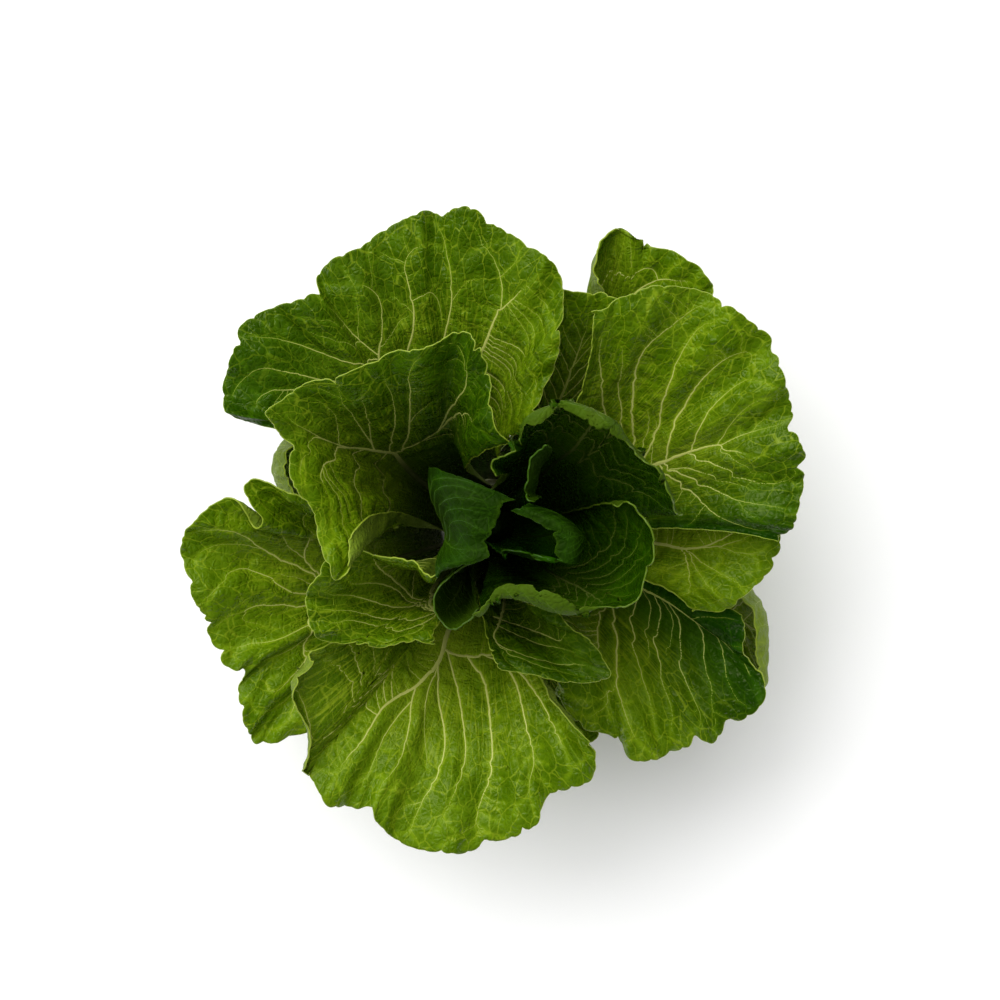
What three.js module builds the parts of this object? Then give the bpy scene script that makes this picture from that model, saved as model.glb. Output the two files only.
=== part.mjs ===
// Romaine lettuce head standing on its cut butt: a short conical stem with leaves set round it in layers.
// Millimetres, +Z up. The origin is on the ground under the middle of the head, +Y is the back of the head.
//
// A leaf is a sheet of veins. Each vein is one cubic curve: it leaves the root ring upright, climbs the
// trough of the leaf, turns over at the throat and runs out to the rim. "across" counts along the rim from
// 0 to 1, anticlockwise seen from above, and "along" counts up a vein from 0 at the root to 1 at the rim.
import * as THREE from "three";

// The stem is a cone, cut flat where it stands, with a low point on top.
const STEM_RADIUS = 27;
const STEM_HEIGHT = 50;
const STEM_TOP_RADIUS = 3.4;
const STEM_POINT = 2;
const STEM_SIDES = 32;

// The leaves' roots stand on nested rings, the oldest leaf on the widest. The oldest are cut flush with the
// butt, and the younger ones climb the stem.
const ROOT_OUTER_RADIUS = 36;
const ROOT_INNER_RADIUS = 8.5;
const FLUSH_LEAVES = 6;
const ROOT_TOP = 44;
const CLASP_ANGLE = 125;

// Leaf thickness: an even blade, and a midrib that swells its back towards the root.
const BLADE = 0.8;
const RIB = 5;
const RIB_YOUNGER = 0.84;
const RIB_WIDTH = 0.16;
const RIB_FADE = 1.4;

// A vein starts steeply: its first guide point stands at this share of the climb to the throat, and leans
// this share of the way out.
const UPRIGHT_SHARE = 0.45;
const BELLY = 0.2;

// Waves along the rim, fading out towards the throat.
const WAVE_START = 0.5;
const WAVE_LENGTH = 38;

// A rolled rim curls over the inner face. It takes the last share of each vein there.
const ROLL_ANGLE = THREE.MathUtils.degToRad(130);
const ROLL_SHARE = 0.28;
const FULL_ROLL = 4;

// Rims and throats are placed as they are seen from an eye above the head. SEEN_HEIGHT is where that view is
// true to size, and a point above or below it slides along the line of sight.
const EYE = new THREE.Vector3(3, 14.5, 1500);
const SEEN_HEIGHT = 170;
const UP = new THREE.Vector3(0, 0, 1);

// Each leaf has a column of facets for every so many millimetres of its rim, and this many rows up a vein.
const COLUMN_STEP = 11;
const ROWS = 10;

// The rim's spline is a relaxed one, and slopes are taken over this share of the leaf each way.
const SPLINE_TENSION = 0.5;
const SLOPE_STEP = 0.01;

// The leaves, from the outermost to the heart. turn is the heading of the root in degrees, anticlockwise from
// +X, and clasp the angle that the root spans. rim and throat are [x, y, height], and a fourth number in the
// rim is the radius of its roll there. The throat is the rim's outline drawn in to the share gather: veins
// pass through it, and where it lies beyond the rim the leaf is a hood or a cup. lean slides the throat from
// one side of the leaf to the other, and belly bows its root part out. tip is the rim point where the midrib
// ends, counted from 0, and ruffle is the height of the rim's waves.
const LEAVES = [
  { name: "low_leaf_north", turn: 60, clasp: 80, gather: 0.5, throat: [60, 86, 100], tip: 4, ruffle: 1.5,
    rim: [[102, 96, 116], [106, 111, 120], [104, 122, 122], [92, 134, 122], [75, 139, 121],
      [62, 148, 118, 4], [53, 139, 112, 9], [44, 122, 108, 11], [42, 100, 106, 7]] },
  { name: "low_leaf_east", turn: -20, clasp: 82, gather: 1.5, throat: [144, -54, 78], tip: 2, ruffle: 1.5,
    rim: [[110, -83, 100], [124, -74, 106], [127, -53, 112], [120, -34, 116], [102, -17, 114]] },
  { name: "low_leaf_west", turn: 170, gather: 1.7, throat: [-115, 29, 72], tip: 2, ruffle: 1.5,
    rim: [[-79, 47, 104], [-94, 41, 110], [-101, 31, 114], [-95, 18, 110], [-81, 9, 104]] },
  { name: "low_leaf_south", turn: -92, clasp: 76, gather: 0.5, throat: [27, -70, 78], tip: 2, ruffle: 1.5,
    rim: [[9, -105, 80], [30, -104, 84], [44, -105, 86], [53, -96, 88], [56, -77, 90]] },
  { name: "leaf_north", turn: 58, clasp: 80, gather: 0.4, throat: [41, 74, 124], tip: 3, ruffle: 2,
    rim: [[74, 89, 138], [69, 105, 140], [59, 114, 142], [46, 116, 142], [30, 117, 142], [20, 105, 136],
      [13, 88, 130], [8, 72, 120]] },
  { name: "leaf_west", turn: -161, clasp: 100, gather: 0.4, throat: [-84, -30, 112], tip: 6, ruffle: 3,
    rim: [[-83, 14, 132], [-98, 21, 134], [-119, 24, 135], [-121, 10, 134], [-129, 14, 133],
      [-141, 10, 132], [-151, -5, 128], [-148, -24, 124], [-142, -46, 119], [-132, -65, 113],
      [-120, -68, 110], [-125, -81, 106], [-119, -97, 101], [-114, -104, 98], [-90, -96, 96]] },
  { name: "leaf_southeast", turn: -22, clasp: 94, gather: 0.4, throat: [70, -40, 110], tip: 9.8, ruffle: 3,
    rim: [[28, -77, 98], [43, -95, 98], [56, -101, 98], [63, -109, 99], [74, -112, 100],
      [83, -111, 101], [95, -105, 104], [105, -104, 106], [113, -97, 108], [126, -90, 110],
      [133, -78, 112], [127, -69, 114], [122, -59, 116], [123, -49, 118], [119, -41, 118]] },
  { name: "leaf_northwest", turn: 147, clasp: 124, gather: 0.4, throat: [-38, 66, 140], tip: 11.5,
    ruffle: 3,
    rim: [[25, 49, 148], [25, 67, 150], [33, 89, 154], [34, 112, 156], [29, 130, 154], [13, 140, 152],
      [-9, 157, 148], [-24, 155, 146], [-36, 154, 143], [-56, 144, 142], [-72, 134, 142],
      [-85, 125, 142], [-91, 114, 142], [-112, 107, 140], [-125, 94, 138], [-132, 67, 134],
      [-128, 57, 132], [-117, 51, 132]] },
  { name: "leaf_south", turn: -117, clasp: 96, gather: 0.4, throat: [-20, -68, 130], tip: 6, ruffle: 3,
    rim: [[-95, -58, 148, 8], [-99, -75, 142, 9], [-93, -101, 138, 6], [-90, -118, 134],
      [-82, -133, 130], [-69, -135, 128], [-58, -141, 125], [-45, -152, 123], [-24, -157, 121],
      [-2, -153, 122], [21, -143, 124], [27, -129, 127], [47, -122, 131], [50, -112, 133],
      [47, -101, 134]] },
  { name: "leaf_east_under", turn: -14, clasp: 80, gather: 0.4, throat: [86, -6, 128], tip: 4, ruffle: 2,
    rim: [[95, -39, 128], [112, -39, 130], [125, -30, 132], [136, -18, 132], [139, 0, 132],
      [133, 18, 132], [116, 29, 132]] },
  { name: "leaf_east", turn: 10, clasp: 115, gather: 0.4, throat: [80, 38, 158], tip: 4.2, ruffle: 3,
    rim: [[137, -6, 151], [144, 0, 153], [148, 12, 157], [151, 32, 161], [148, 49, 163], [145, 63, 166],
      [140, 77, 169], [134, 94, 171], [119, 107, 173], [103, 115, 174], [82, 120, 174], [64, 114, 174],
      [46, 105, 172]] },
  { name: "leaf_southeast_upper", turn: -68, clasp: 108, gather: 0.4, throat: [6, -48, 148], tip: 3,
    ruffle: 2,
    rim: [[3, -67, 150], [25, -72, 150], [46, -74, 152], [58, -70, 154], [51, -57, 154], [39, -48, 154],
      [30, -36, 152]] },
  { name: "leaf_northwest_upper", turn: 151, belly: 0.7, gather: 0.4, throat: [-48, 34, 184], tip: 10,
    ruffle: 3,
    rim: [[7, 41, 202], [2, 60, 204], [-3, 76, 206], [-4, 89, 207], [-13, 96, 207], [-26, 94, 206],
      [-45, 87, 204], [-62, 80, 202], [-88, 74, 198], [-102, 64, 195], [-112, 57, 195], [-101, 42, 193],
      [-99, 22, 193], [-87, 8, 193], [-84, -10, 192], [-77, -25, 191], [-71, -14, 191], [-66, -2, 191]] },
  { name: "leaf_southwest", turn: -140, clasp: 100, gather: 0.4, throat: [-44, -36, 158], tip: 4, ruffle: 2,
    rim: [[-26, -20, 180], [-36, -17, 178], [-47, -10, 172], [-72, -9, 165], [-88, -22, 168],
      [-92, -36, 164], [-85, -53, 160], [-55, -57, 158], [-28, -55, 156]] },
  { name: "heart_leaf_northeast", turn: 46, clasp: 130, gather: 1, throat: [54, 42, 182], tip: 7, ruffle: 2,
    rim: [[91, 9, 196], [86, 11, 200], [82, 19, 206], [78, 29, 210], [72, 36, 212], [63, 44, 214, 1.5],
      [56, 51, 216, 3.5], [46, 57, 217, 4], [32, 63, 218, 4.5], [25, 60, 218, 5], [17, 56, 217, 5],
      [12, 51, 216, 3.5], [9, 42, 214, 1], [3, 36, 212], [-1, 31, 209], [2, 26, 205]] },
  { name: "heart_leaf_south", turn: -126, clasp: 64, gather: 0.9, throat: [-18, -33, 170], tip: 3,
    ruffle: 1.5,
    rim: [[-8, -37, 186], [-9, -42, 190], [-16, -47, 190], [-24, -44, 190], [-27, -30, 192],
      [-20, -20, 194], [-8, -16, 194]] },
  { name: "heart_leaf_west", turn: 165, clasp: 90, gather: 1, lean: [68, -38], throat: [-50, 8, 230],
    tip: 4.6, ruffle: 1.5,
    rim: [[11, 15, 218], [6, 11, 219], [2, 4, 220], [0, -3, 221], [0, -13, 219], [-8, -16, 217],
      [-19, -18, 214], [-26, -22, 209]] },
  { name: "heart_leaf_southeast", turn: -53, clasp: 90, gather: 1.05, throat: [46, -20, 182], tip: 6,
    ruffle: 2,
    rim: [[-8, -42, 204, 1], [-2, -37, 208, 3], [5, -34, 210, 5.5], [17, -35, 212, 6],
      [32, -40, 213, 6], [44, -41, 213, 4], [53, -39, 214, 2], [63, -36, 214], [70, -32, 215],
      [76, -22, 216], [77, -11, 217], [72, 4, 217], [65, 14, 216], [57, 14, 214]] },
  { name: "heart_leaf_north", turn: 62, clasp: 70, gather: 0.6, throat: [32, 30, 192], tip: 3, ruffle: 1.5,
    rim: [[19, 13, 212], [14, 16, 216], [17, 24, 220], [18, 34, 222], [21, 40, 224], [26, 42, 224]] },
  { name: "heart_leaf_east", turn: -24, clasp: 100, gather: 2.1, throat: [53, -2, 232], tip: 2.5, ruffle: 1,
    rim: [[18, -11, 212], [26, -13, 213], [28, -5, 214], [25, 0, 214], [19, 4, 214], [7, 9, 213]] },
  { name: "heart_bud", turn: -100, gather: 0.8, throat: [12, -14, 190], tip: 2, ruffle: 1,
    rim: [[3, -12, 202], [10, -11, 205], [17, -11, 206], [21, -13, 205], [26, -13, 202]] },
];

const LEAF_GREEN = new THREE.MeshStandardMaterial({ color: 0x4b7a16, roughness: 0.45, metalness: 0 });
const HEART_GREEN = new THREE.MeshStandardMaterial({ color: 0x3c6d1c, roughness: 0.45, metalness: 0 });
const STEM_CREAM = new THREE.MeshStandardMaterial({ color: 0xe4e3bd, roughness: 0.55, metalness: 0 });

// A point read in the view from above, moved along the line of sight to its real height.
function seen([x, y, height]) {
  const spread = (EYE.z - height) / (EYE.z - SEEN_HEIGHT);
  return new THREE.Vector3(EYE.x + (x - EYE.x) * spread, EYE.y + (y - EYE.y) * spread, height);
}

// Where a leaf's root stands: the younger the leaf, the smaller its ring and the higher it sits on the stem.
function rootOf(layer) {
  const age = layer / (LEAVES.length - 1);
  const climbed = Math.max(0, layer - FLUSH_LEAVES) / (LEAVES.length - 1 - FLUSH_LEAVES);
  return {
    radius: THREE.MathUtils.lerp(ROOT_OUTER_RADIUS, ROOT_INNER_RADIUS, age),
    height: climbed * ROOT_TOP,
  };
}

// A number that is listed with the rim's points, at any place between them.
function between(values, across) {
  const at = across * (values.length - 1);
  const i = Math.min(Math.floor(at), values.length - 2);
  return THREE.MathUtils.lerp(values[i], values[i + 1], at - i);
}

// The leaf's inner face as a function of across and along.
function leafSurface(leaf, layer) {
  const root = rootOf(layer);
  const points = leaf.rim.map(seen);
  const rim = new THREE.CatmullRomCurve3(points, false, "catmullrom", SPLINE_TENSION);
  const rolls = leaf.rim.map((p) => p[3] ?? 0);
  const throat = seen(leaf.throat);
  const middle = points.reduce((sum, p) => sum.add(p), new THREE.Vector3()).divideScalar(points.length);
  const tip = leaf.tip / (points.length - 1);
  const clasp = leaf.clasp ?? CLASP_ANGLE;
  const lean = leaf.lean ?? [0, 0];
  const point = (across, along) => {
    const heading = THREE.MathUtils.degToRad(leaf.turn + (across - tip) * clasp);
    const start = new THREE.Vector3(root.radius, 0, root.height).applyAxisAngle(UP, heading);
    const end = rim.getPoint(across);
    const shoulder = end.clone().sub(middle).multiplyScalar(leaf.gather).add(throat);
    shoulder.x += lean[0] * (across - 0.5);
    shoulder.y += lean[1] * (across - 0.5);
    shoulder.z = throat.z;
    const upright = start.clone().lerp(shoulder, leaf.belly ?? BELLY);
    upright.z = THREE.MathUtils.lerp(root.height, throat.z, UPRIGHT_SHARE);
    const roll = between(rolls, across);
    const outward = end.clone().sub(shoulder).normalize();
    end.x -= roll * outward.x;
    end.y -= roll * outward.y;
    const turnover = 1 - ROLL_SHARE * Math.min(1, roll / FULL_ROLL);
    const curve = new THREE.CubicBezierCurve3(start, upright, shoulder, end);
    const vein = curve.getPoint(Math.min(1, along / turnover));
    if (along > turnover) {
      const angle = ROLL_ANGLE * (along - turnover) / (1 - turnover);
      const inward = outward.clone().cross(rim.getTangent(across)).normalize();
      vein.addScaledVector(outward, roll * Math.sin(angle));
      vein.addScaledVector(inward, roll * (1 - Math.cos(angle)));
    }
    return vein;
  };
  const normal = (across, along) => {
    const right = point(Math.min(1, across + SLOPE_STEP), along);
    const left = point(Math.max(0, across - SLOPE_STEP), along);
    const above = point(across, Math.min(1, along + SLOPE_STEP));
    const below = point(across, Math.max(0, along - SLOPE_STEP));
    return above.sub(below).cross(right.sub(left)).normalize();
  };
  const ribHeight = RIB * Math.pow(RIB_YOUNGER, layer);
  const rib = (across, along) =>
    ribHeight * Math.pow(1 - along, RIB_FADE) * Math.exp(-(((across - tip) / RIB_WIDTH) ** 2));
  const length = rim.getLength();
  const waveAngle = 2 * Math.PI * length / WAVE_LENGTH;
  const wave = (across, along) =>
    leaf.ruffle * THREE.MathUtils.smoothstep(along, WAVE_START, 1) * Math.sin(across * waveAngle + layer);
  return { point, normal, rib, wave, length };
}

// A closed leaf: its inner face, its back, and the narrow walls round its edge.
function leafGeometry(leaf, layer) {
  const { point, normal, rib, wave, length } = leafSurface(leaf, layer);
  const columns = Math.round(length / COLUMN_STEP);
  const faces = [[], []];
  for (let i = 0; i <= columns; i++) {
    for (let j = 0; j <= ROWS; j++) {
      const across = i / columns;
      const along = j / ROWS;
      const n = normal(across, along);
      if (j === 0) {
        // The root's thickness is level, so that its cut face is flat.
        n.setZ(0).normalize();
      }
      const p = point(across, along).addScaledVector(n, wave(across, along));
      faces[0].push(p.clone().addScaledVector(n, BLADE / 2));
      faces[1].push(p.clone().addScaledVector(n, -BLADE / 2 - rib(across, along)));
    }
  }
  const stride = ROWS + 1;
  const back = faces[0].length;
  const index = [];
  const quad = (a, b, c, d) => index.push(a, b, c, a, c, d);
  for (let i = 0; i < columns; i++) {
    for (let j = 0; j < ROWS; j++) {
      const a = i * stride + j;
      const b = back + a;
      quad(a, a + 1, a + stride + 1, a + stride);
      // The back's quad is split along the same diagonal as the inner face's.
      index.push(b, b + stride + 1, b + 1, b, b + stride, b + stride + 1);
    }
    const root = i * stride;
    const end = root + ROWS;
    quad(root, root + stride, back + root + stride, back + root);
    quad(end + stride, end, back + end, back + end + stride);
  }
  for (let j = 0; j < ROWS; j++) {
    const last = columns * stride + j;
    quad(j + 1, j, back + j, back + j + 1);
    quad(last, last + 1, back + last + 1, back + last);
  }
  const geometry = new THREE.BufferGeometry();
  geometry.setFromPoints([...faces[0], ...faces[1]]);
  geometry.setIndex(index);
  geometry.computeVertexNormals();
  return geometry;
}

function stemGeometry() {
  const profile = [[0, 0], [STEM_RADIUS, 0], [STEM_TOP_RADIUS, STEM_HEIGHT], [0, STEM_HEIGHT + STEM_POINT]];
  const section = profile.map(([radius, height]) => new THREE.Vector2(radius, height));
  return new THREE.LatheGeometry(section, STEM_SIDES).rotateX(Math.PI / 2);
}

function named(name, geometry, material) {
  const mesh = new THREE.Mesh(geometry, material);
  mesh.name = name;
  return mesh;
}

const head = new THREE.Group();
head.add(named("stem", stemGeometry(), STEM_CREAM));
LEAVES.forEach((leaf, layer) => {
  const green = leaf.name.startsWith("heart") ? HEART_GREEN : LEAF_GREEN;
  head.add(named(leaf.name, leafGeometry(leaf, layer), green));
});

export default head;
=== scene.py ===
import math
from types import SimpleNamespace

import bpy
import numpy as np
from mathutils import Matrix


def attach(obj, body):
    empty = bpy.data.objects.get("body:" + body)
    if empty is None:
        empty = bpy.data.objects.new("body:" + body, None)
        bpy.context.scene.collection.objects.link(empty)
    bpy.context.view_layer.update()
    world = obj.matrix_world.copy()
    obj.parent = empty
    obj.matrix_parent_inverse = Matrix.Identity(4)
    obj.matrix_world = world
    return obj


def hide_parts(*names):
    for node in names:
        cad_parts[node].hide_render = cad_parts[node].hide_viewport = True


# Romaine lettuce head, standing on its cut butt and seen from above. Lengths are millimetres until a mesh is
# made, which is in metres. Each leaf of the frame is replaced by a finer blade of the same form, with its own
# net of veins and a pale bead along its edge.
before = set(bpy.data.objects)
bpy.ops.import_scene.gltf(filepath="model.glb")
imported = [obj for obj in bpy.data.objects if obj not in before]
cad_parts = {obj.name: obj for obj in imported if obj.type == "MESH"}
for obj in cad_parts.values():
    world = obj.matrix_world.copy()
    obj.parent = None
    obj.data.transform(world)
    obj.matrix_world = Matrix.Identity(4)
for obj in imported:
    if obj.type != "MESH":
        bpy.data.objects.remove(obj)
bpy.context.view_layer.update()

MM = 0.001

# The frame's own sizes, repeated here because the leaves keep their form.
ROOT_OUTER_RADIUS = 36
ROOT_INNER_RADIUS = 8.5
FLUSH_LEAVES = 6
ROOT_TOP = 44
CLASP_ANGLE = 125
BLADE = 0.8
RIB = 5
RIB_YOUNGER = 0.84
RIB_WIDTH = 0.16
RIB_FADE = 1.4
UPRIGHT_SHARE = 0.45
BELLY = 0.2
WAVE_START = 0.5
WAVE_LENGTH = 38
ROLL_ANGLE = math.radians(130)
ROLL_SHARE = 0.28
FULL_ROLL = 4
EYE = np.array([3, 14.5, 1500])
SEEN_HEIGHT = 170

# The leaves as in the frame, from the outermost to the heart, with their looks. green lists the lightness of
# the blade from one end of the rim to the other, 0 darkest and 1 most yellow. It is the leaf's own tone with
# painted light and shade in it: the heart leaves sit near 0 as painted shade of the well they stand deep in,
# and the lighter and darker stretches of the outer leaves partly stand for sheen and shade. bites are deeper
# notches in the edge: the place in the view from above, the depth and the half width.
LEAVES = [
    dict(name="low_leaf_north", turn=60, clasp=80, gather=0.5, throat=[60, 86, 100], tip=4, ruffle=1.5,
         green=[0.8],
         rim=[[102, 96, 116], [106, 111, 120], [104, 122, 122], [92, 134, 122], [75, 139, 121],
              [62, 148, 118, 4], [53, 139, 112, 9], [44, 122, 108, 11], [42, 100, 106, 7]]),
    dict(name="low_leaf_east", turn=-20, clasp=82, gather=1.5, throat=[144, -54, 78], tip=2, ruffle=1.5,
         green=[1],
         rim=[[110, -83, 100], [124, -74, 106], [127, -53, 112], [120, -34, 116], [102, -17, 114]]),
    dict(name="low_leaf_west", turn=170, gather=1.7, throat=[-115, 29, 72], tip=2, ruffle=1.5, green=[0.75],
         rim=[[-79, 47, 104], [-94, 41, 110], [-101, 31, 114], [-95, 18, 110], [-81, 9, 104]]),
    dict(name="low_leaf_south", turn=-92, clasp=76, gather=0.5, throat=[27, -70, 78], tip=2, ruffle=1.5,
         green=[0.8],
         rim=[[9, -105, 80], [30, -104, 84], [44, -105, 86], [53, -96, 88], [56, -77, 90]]),
    dict(name="leaf_north", turn=58, clasp=80, gather=0.4, throat=[41, 74, 124], tip=3, ruffle=2,
         green=[0.6],
         rim=[[74, 89, 138], [69, 105, 140], [59, 114, 142], [46, 116, 142], [30, 117, 142], [20, 105, 136],
              [13, 88, 130], [8, 72, 120]]),
    dict(name="leaf_west", turn=-161, clasp=100, gather=0.4, throat=[-84, -30, 112], tip=6, ruffle=3,
         green=[0.7, 1],
         rim=[[-83, 14, 132], [-98, 21, 134], [-119, 24, 135], [-121, 10, 134], [-129, 14, 133],
              [-141, 10, 132], [-151, -5, 128], [-148, -24, 124], [-142, -46, 119], [-132, -65, 113],
              [-120, -68, 110], [-125, -81, 106], [-119, -97, 101], [-114, -104, 98], [-90, -96, 96]],
         bites=[(-122, 10, 10, 5)]),
    dict(name="leaf_southeast", turn=-22, clasp=94, gather=0.4, throat=[70, -40, 110], tip=9.8, ruffle=3,
         green=[1, 1, 0.1, 0],
         rim=[[28, -77, 98], [43, -95, 98], [56, -101, 98], [63, -109, 99], [74, -112, 100], [83, -111, 101],
              [95, -105, 104], [105, -104, 106], [113, -97, 108], [126, -90, 110], [133, -78, 112],
              [127, -69, 114], [122, -59, 116], [123, -49, 118], [119, -41, 118]],
         bites=[(100, -98, 6, 4), (113, -93, 4, 4), (62, -104, 4, 3)]),
    dict(name="leaf_northwest", turn=147, clasp=124, gather=0.4, throat=[-38, 66, 140], tip=11.5, ruffle=3,
         green=[1, 0.55, 0.45, 0.1],
         rim=[[25, 49, 148], [25, 67, 150], [33, 89, 154], [34, 112, 156], [29, 130, 154], [13, 140, 152],
              [-9, 157, 148], [-24, 155, 146], [-36, 154, 143], [-56, 144, 142], [-72, 134, 142],
              [-85, 125, 142], [-91, 114, 142], [-112, 107, 140], [-125, 94, 138], [-132, 67, 134],
              [-128, 57, 132], [-117, 51, 132]],
         bites=[(-25, 152, 3, 3), (-85, 118, 4, 3)]),
    dict(name="leaf_south", turn=-117, clasp=96, gather=0.4, throat=[-20, -68, 130], tip=6, ruffle=3,
         green=[0.9],
         rim=[[-95, -58, 148, 8], [-99, -75, 142, 9], [-93, -101, 138, 6], [-90, -118, 134],
              [-82, -133, 130], [-69, -135, 128], [-58, -141, 125], [-45, -152, 123], [-24, -157, 121],
              [-2, -153, 122], [21, -143, 124], [27, -129, 127], [47, -122, 131], [50, -112, 133],
              [47, -101, 134]],
         bites=[(-5, -149, 3, 3), (-59, -133, 5, 4)]),
    dict(name="leaf_east_under", turn=-14, clasp=80, gather=0.4, throat=[86, -6, 128], tip=4, ruffle=2,
         green=[1],
         rim=[[95, -39, 128], [112, -39, 130], [125, -30, 132], [136, -18, 132], [139, 0, 132],
              [133, 18, 132], [116, 29, 132]]),
    dict(name="leaf_east", turn=10, clasp=115, gather=0.4, throat=[80, 38, 158], tip=4.2, ruffle=3,
         green=[0, 0.6, 1, 0.55],
         rim=[[137, -6, 151], [144, 0, 153], [148, 12, 157], [151, 32, 161], [148, 49, 163], [145, 63, 166],
              [140, 77, 169], [134, 94, 171], [119, 107, 173], [103, 115, 174], [82, 120, 174],
              [64, 114, 174], [46, 105, 172]],
         bites=[(143, 51, 4, 3), (147, 31, 4, 3), (135, 88, 3, 3)]),
    dict(name="leaf_southeast_upper", turn=-68, clasp=108, gather=0.4, throat=[6, -48, 148], tip=3, ruffle=2,
         green=[0.3],
         rim=[[3, -67, 150], [25, -72, 150], [46, -74, 152], [58, -70, 154], [51, -57, 154], [39, -48, 154],
              [30, -36, 152]]),
    dict(name="leaf_northwest_upper", turn=151, belly=0.7, gather=0.4, throat=[-48, 34, 184], tip=10,
         ruffle=3, green=[0.2, 0.25, 0.45, 0.9, 1],
         rim=[[7, 41, 202], [2, 60, 204], [-3, 76, 206], [-4, 89, 207], [-13, 96, 207], [-26, 94, 206],
              [-45, 87, 204], [-62, 80, 202], [-88, 74, 198], [-102, 64, 195], [-112, 57, 195],
              [-101, 42, 193], [-99, 22, 193], [-87, 8, 193], [-84, -10, 192], [-77, -25, 191],
              [-71, -14, 191], [-66, -2, 191]],
         bites=[(-94, 45, 4, 4)]),
    dict(name="leaf_southwest", turn=-140, clasp=100, gather=0.4, throat=[-44, -36, 158], tip=4, ruffle=2,
         green=[0.6],
         rim=[[-26, -20, 180], [-36, -17, 178], [-47, -10, 172], [-72, -9, 165], [-88, -22, 168],
              [-92, -36, 164], [-85, -53, 160], [-55, -57, 158], [-28, -55, 156]]),
    dict(name="heart_leaf_northeast", turn=46, clasp=130, gather=1, throat=[54, 42, 182], tip=7, ruffle=2,
         green=[0.12],
         rim=[[91, 9, 196], [86, 11, 200], [82, 19, 206], [78, 29, 210], [72, 36, 212], [63, 44, 214, 1.5],
              [56, 51, 216, 3.5], [46, 57, 217, 4], [32, 63, 218, 4.5], [25, 60, 218, 5], [17, 56, 217, 5],
              [12, 51, 216, 3.5], [9, 42, 214, 1], [3, 36, 212], [-1, 31, 209], [2, 26, 205]]),
    dict(name="heart_leaf_south", turn=-126, clasp=64, gather=0.9, throat=[-18, -33, 170], tip=3, ruffle=1.5,
         green=[0.08],
         rim=[[-8, -37, 186], [-9, -42, 190], [-16, -47, 190], [-24, -44, 190], [-27, -30, 192],
              [-20, -20, 194], [-8, -16, 194]]),
    dict(name="heart_leaf_west", turn=165, clasp=90, gather=1, lean=[68, -38], throat=[-50, 8, 230], tip=4.6,
         ruffle=1.5, green=[0.03],
         rim=[[11, 15, 218], [6, 11, 219], [2, 4, 220], [0, -3, 221], [0, -13, 219], [-8, -16, 217],
              [-19, -18, 214], [-26, -22, 209]]),
    dict(name="heart_leaf_southeast", turn=-53, clasp=90, gather=1.05, throat=[46, -20, 182], tip=6,
         ruffle=2, green=[0.12],
         rim=[[-8, -42, 204, 1], [-2, -37, 208, 3], [5, -34, 210, 5.5], [17, -35, 212, 6], [32, -40, 213, 6],
              [44, -41, 213, 4], [53, -39, 214, 2], [63, -36, 214], [70, -32, 215], [76, -22, 216],
              [77, -11, 217], [72, 4, 217], [65, 14, 216], [57, 14, 214]]),
    dict(name="heart_leaf_north", turn=62, clasp=70, gather=0.6, throat=[32, 30, 192], tip=3, ruffle=1.5,
         green=[0.06],
         rim=[[19, 13, 212], [14, 16, 216], [17, 24, 220], [18, 34, 222], [21, 40, 224], [26, 42, 224]]),
    dict(name="heart_leaf_east", turn=-24, clasp=100, gather=2.1, throat=[53, -2, 232], tip=2.5, ruffle=1,
         green=[0.03],
         rim=[[18, -11, 212], [26, -13, 213], [28, -5, 214], [25, 0, 214], [19, 4, 214], [7, 9, 213]]),
    dict(name="heart_bud", turn=-100, gather=0.8, throat=[12, -14, 190], tip=2, ruffle=1, green=[0.03],
         rim=[[3, -12, 202], [10, -11, 205], [17, -11, 206], [21, -13, 205], [26, -13, 202]]),
]

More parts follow.
